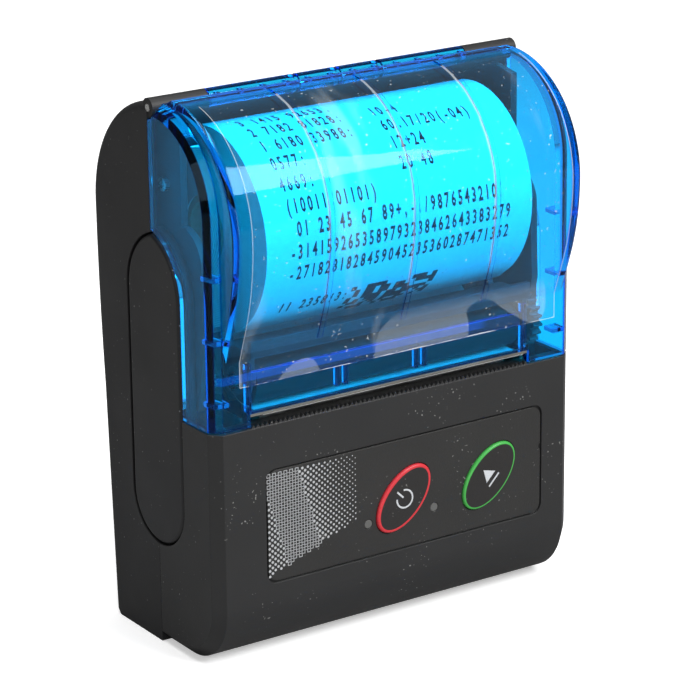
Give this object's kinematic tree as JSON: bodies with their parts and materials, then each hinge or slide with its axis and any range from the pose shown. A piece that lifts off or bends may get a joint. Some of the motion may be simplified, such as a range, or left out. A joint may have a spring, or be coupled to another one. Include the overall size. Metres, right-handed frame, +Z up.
{
  "type": "portable thermal printer",
  "caption": "Pocket receipt printer that stands upright: dark case, clear blue hinged cover over the paper roll, tear edge, two oval keys.",
  "frame": {"origin": "middle of the base, under the middle of the whole printer's box", "axes": "+X is the printer's right seen from the front, the front faces -Y and +Z is up; the cover's hinge lies along X"},
  "size_m": [0.0792, 0.0455, 0.1024],
  "materials": {
    "case_black": "fine matte texture",
    "front_black": "fine matte texture",
    "grip_black": "soft matte",
    "panel_film": "fine grained film",
    "button_film": "fine grained dome",
    "clear_blue": "polished clear blue",
    "clear_film": "thin clear film",
    "steel": "bright",
    "sheet_steel": "zinc plated",
    "aluminium": "satin",
    "ceramic": "glazed",
    "paper": "smooth thermal paper",
    "card": "plain card",
    "platen_rubber": "ground rubber",
    "gear_white": "moulded",
    "bay_black": "matte",
    "board_green": "solder mask",
    "chip_black": "matte",
    "battery_wrap": "shrink wrap",
    "motor_can": "plated can",
    "lens_grey": "smoked lens"
  },
  "bodies": {
    "housing": {"rear_shell": "case_black", "front_shell": "front_black", "left_grip": "grip_black", "right_grip": "grip_black", "overlay_panel": "panel_film", "hinge_pin": "steel", "stepper_motor": "motor_can", "head_springs": "steel", "print_chassis": "sheet_steel", "paper_bay": "bay_black", "paper_tail": "paper", "ear_screws": "steel", "case_screws": "steel", "main_board": "board_green", "key_switches": "steel", "board_chips": "chip_black", "charging_socket": "steel", "battery_pack": "battery_wrap", "power_light": "lens_grey", "status_light": "lens_grey"},
    "cover": {"cover": "clear_blue", "window_film": "clear_film", "tear_bar": "steel", "platen_bracket": "bay_black", "platen_bushes": "gear_white"},
    "platen": {"platen_roller": "platen_rubber", "platen_shaft": "steel", "platen_gear": "gear_white"},
    "idler": {"idler_gear": "gear_white"},
    "motor_rotor": {"motor_gear": "steel", "motor_shaft": "steel"},
    "paper": {"paper_roll": "paper", "paper_core": "card"},
    "print_head": {"print_head": "ceramic", "heat_sink": "aluminium"},
    "battery_door": {"battery_door": "case_black"},
    "power_button": {"power_button": "button_film"},
    "feed_button": {"feed_button": "button_film"}
  },
  "joints": [
    {"name": "cover_hinge", "type": "hinge", "parent": "housing", "child": "cover", "pos_m": [0, 0.00245, 0.10066], "axis": [-1, 0, 0], "range_deg": [0, 100]},
    {"name": "paper_spin", "type": "hinge", "parent": "housing", "child": "paper", "pos_m": [0, 0.0006, 0.0774], "axis": [1, 0, 0], "continuous": true},
    {"name": "platen_spin", "type": "hinge", "parent": "cover", "child": "platen", "pos_m": [0, -0.0094, 0.0522], "axis": [1, 0, 0], "continuous": true},
    {"name": "idler_spin", "type": "hinge", "parent": "housing", "child": "idler", "pos_m": [0, 0.00286, 0.0492], "axis": [1, 0, 0], "continuous": true},
    {"name": "motor_spin", "type": "hinge", "parent": "housing", "child": "motor_rotor", "pos_m": [0, 0.00507, 0.03881], "axis": [1, 0, 0], "continuous": true},
    {"name": "head_press", "type": "slide", "parent": "housing", "child": "print_head", "axis": [0, 0, -1], "range_m": [0, 0.0004], "stiffness_N_per_m": 800, "springref_m": -0.002, "deforming": ["head_springs"]},
    {"name": "battery_door_hinge", "type": "hinge", "parent": "housing", "child": "battery_door", "pos_m": [0, 0.019, 0.0073], "axis": [-1, 0, 0], "range_deg": [0, 75]},
    {"name": "power_press", "type": "slide", "parent": "housing", "child": "power_button", "axis": [0, 1, 0], "range_m": [0, 0.0005], "stiffness_N_per_m": 200, "springref_m": -0.0003},
    {"name": "feed_press", "type": "slide", "parent": "housing", "child": "feed_button", "axis": [0, 1, 0], "range_m": [0, 0.0005], "stiffness_N_per_m": 200, "springref_m": -0.0003}
  ],
  "couplings": [
    {"joint": "platen_spin", "follows": "paper_spin", "ratio": 4},
    {"joint": "idler_spin", "follows": "paper_spin", "ratio": -2.6667},
    {"joint": "motor_spin", "follows": "paper_spin", "ratio": 6.6667}
  ]
}
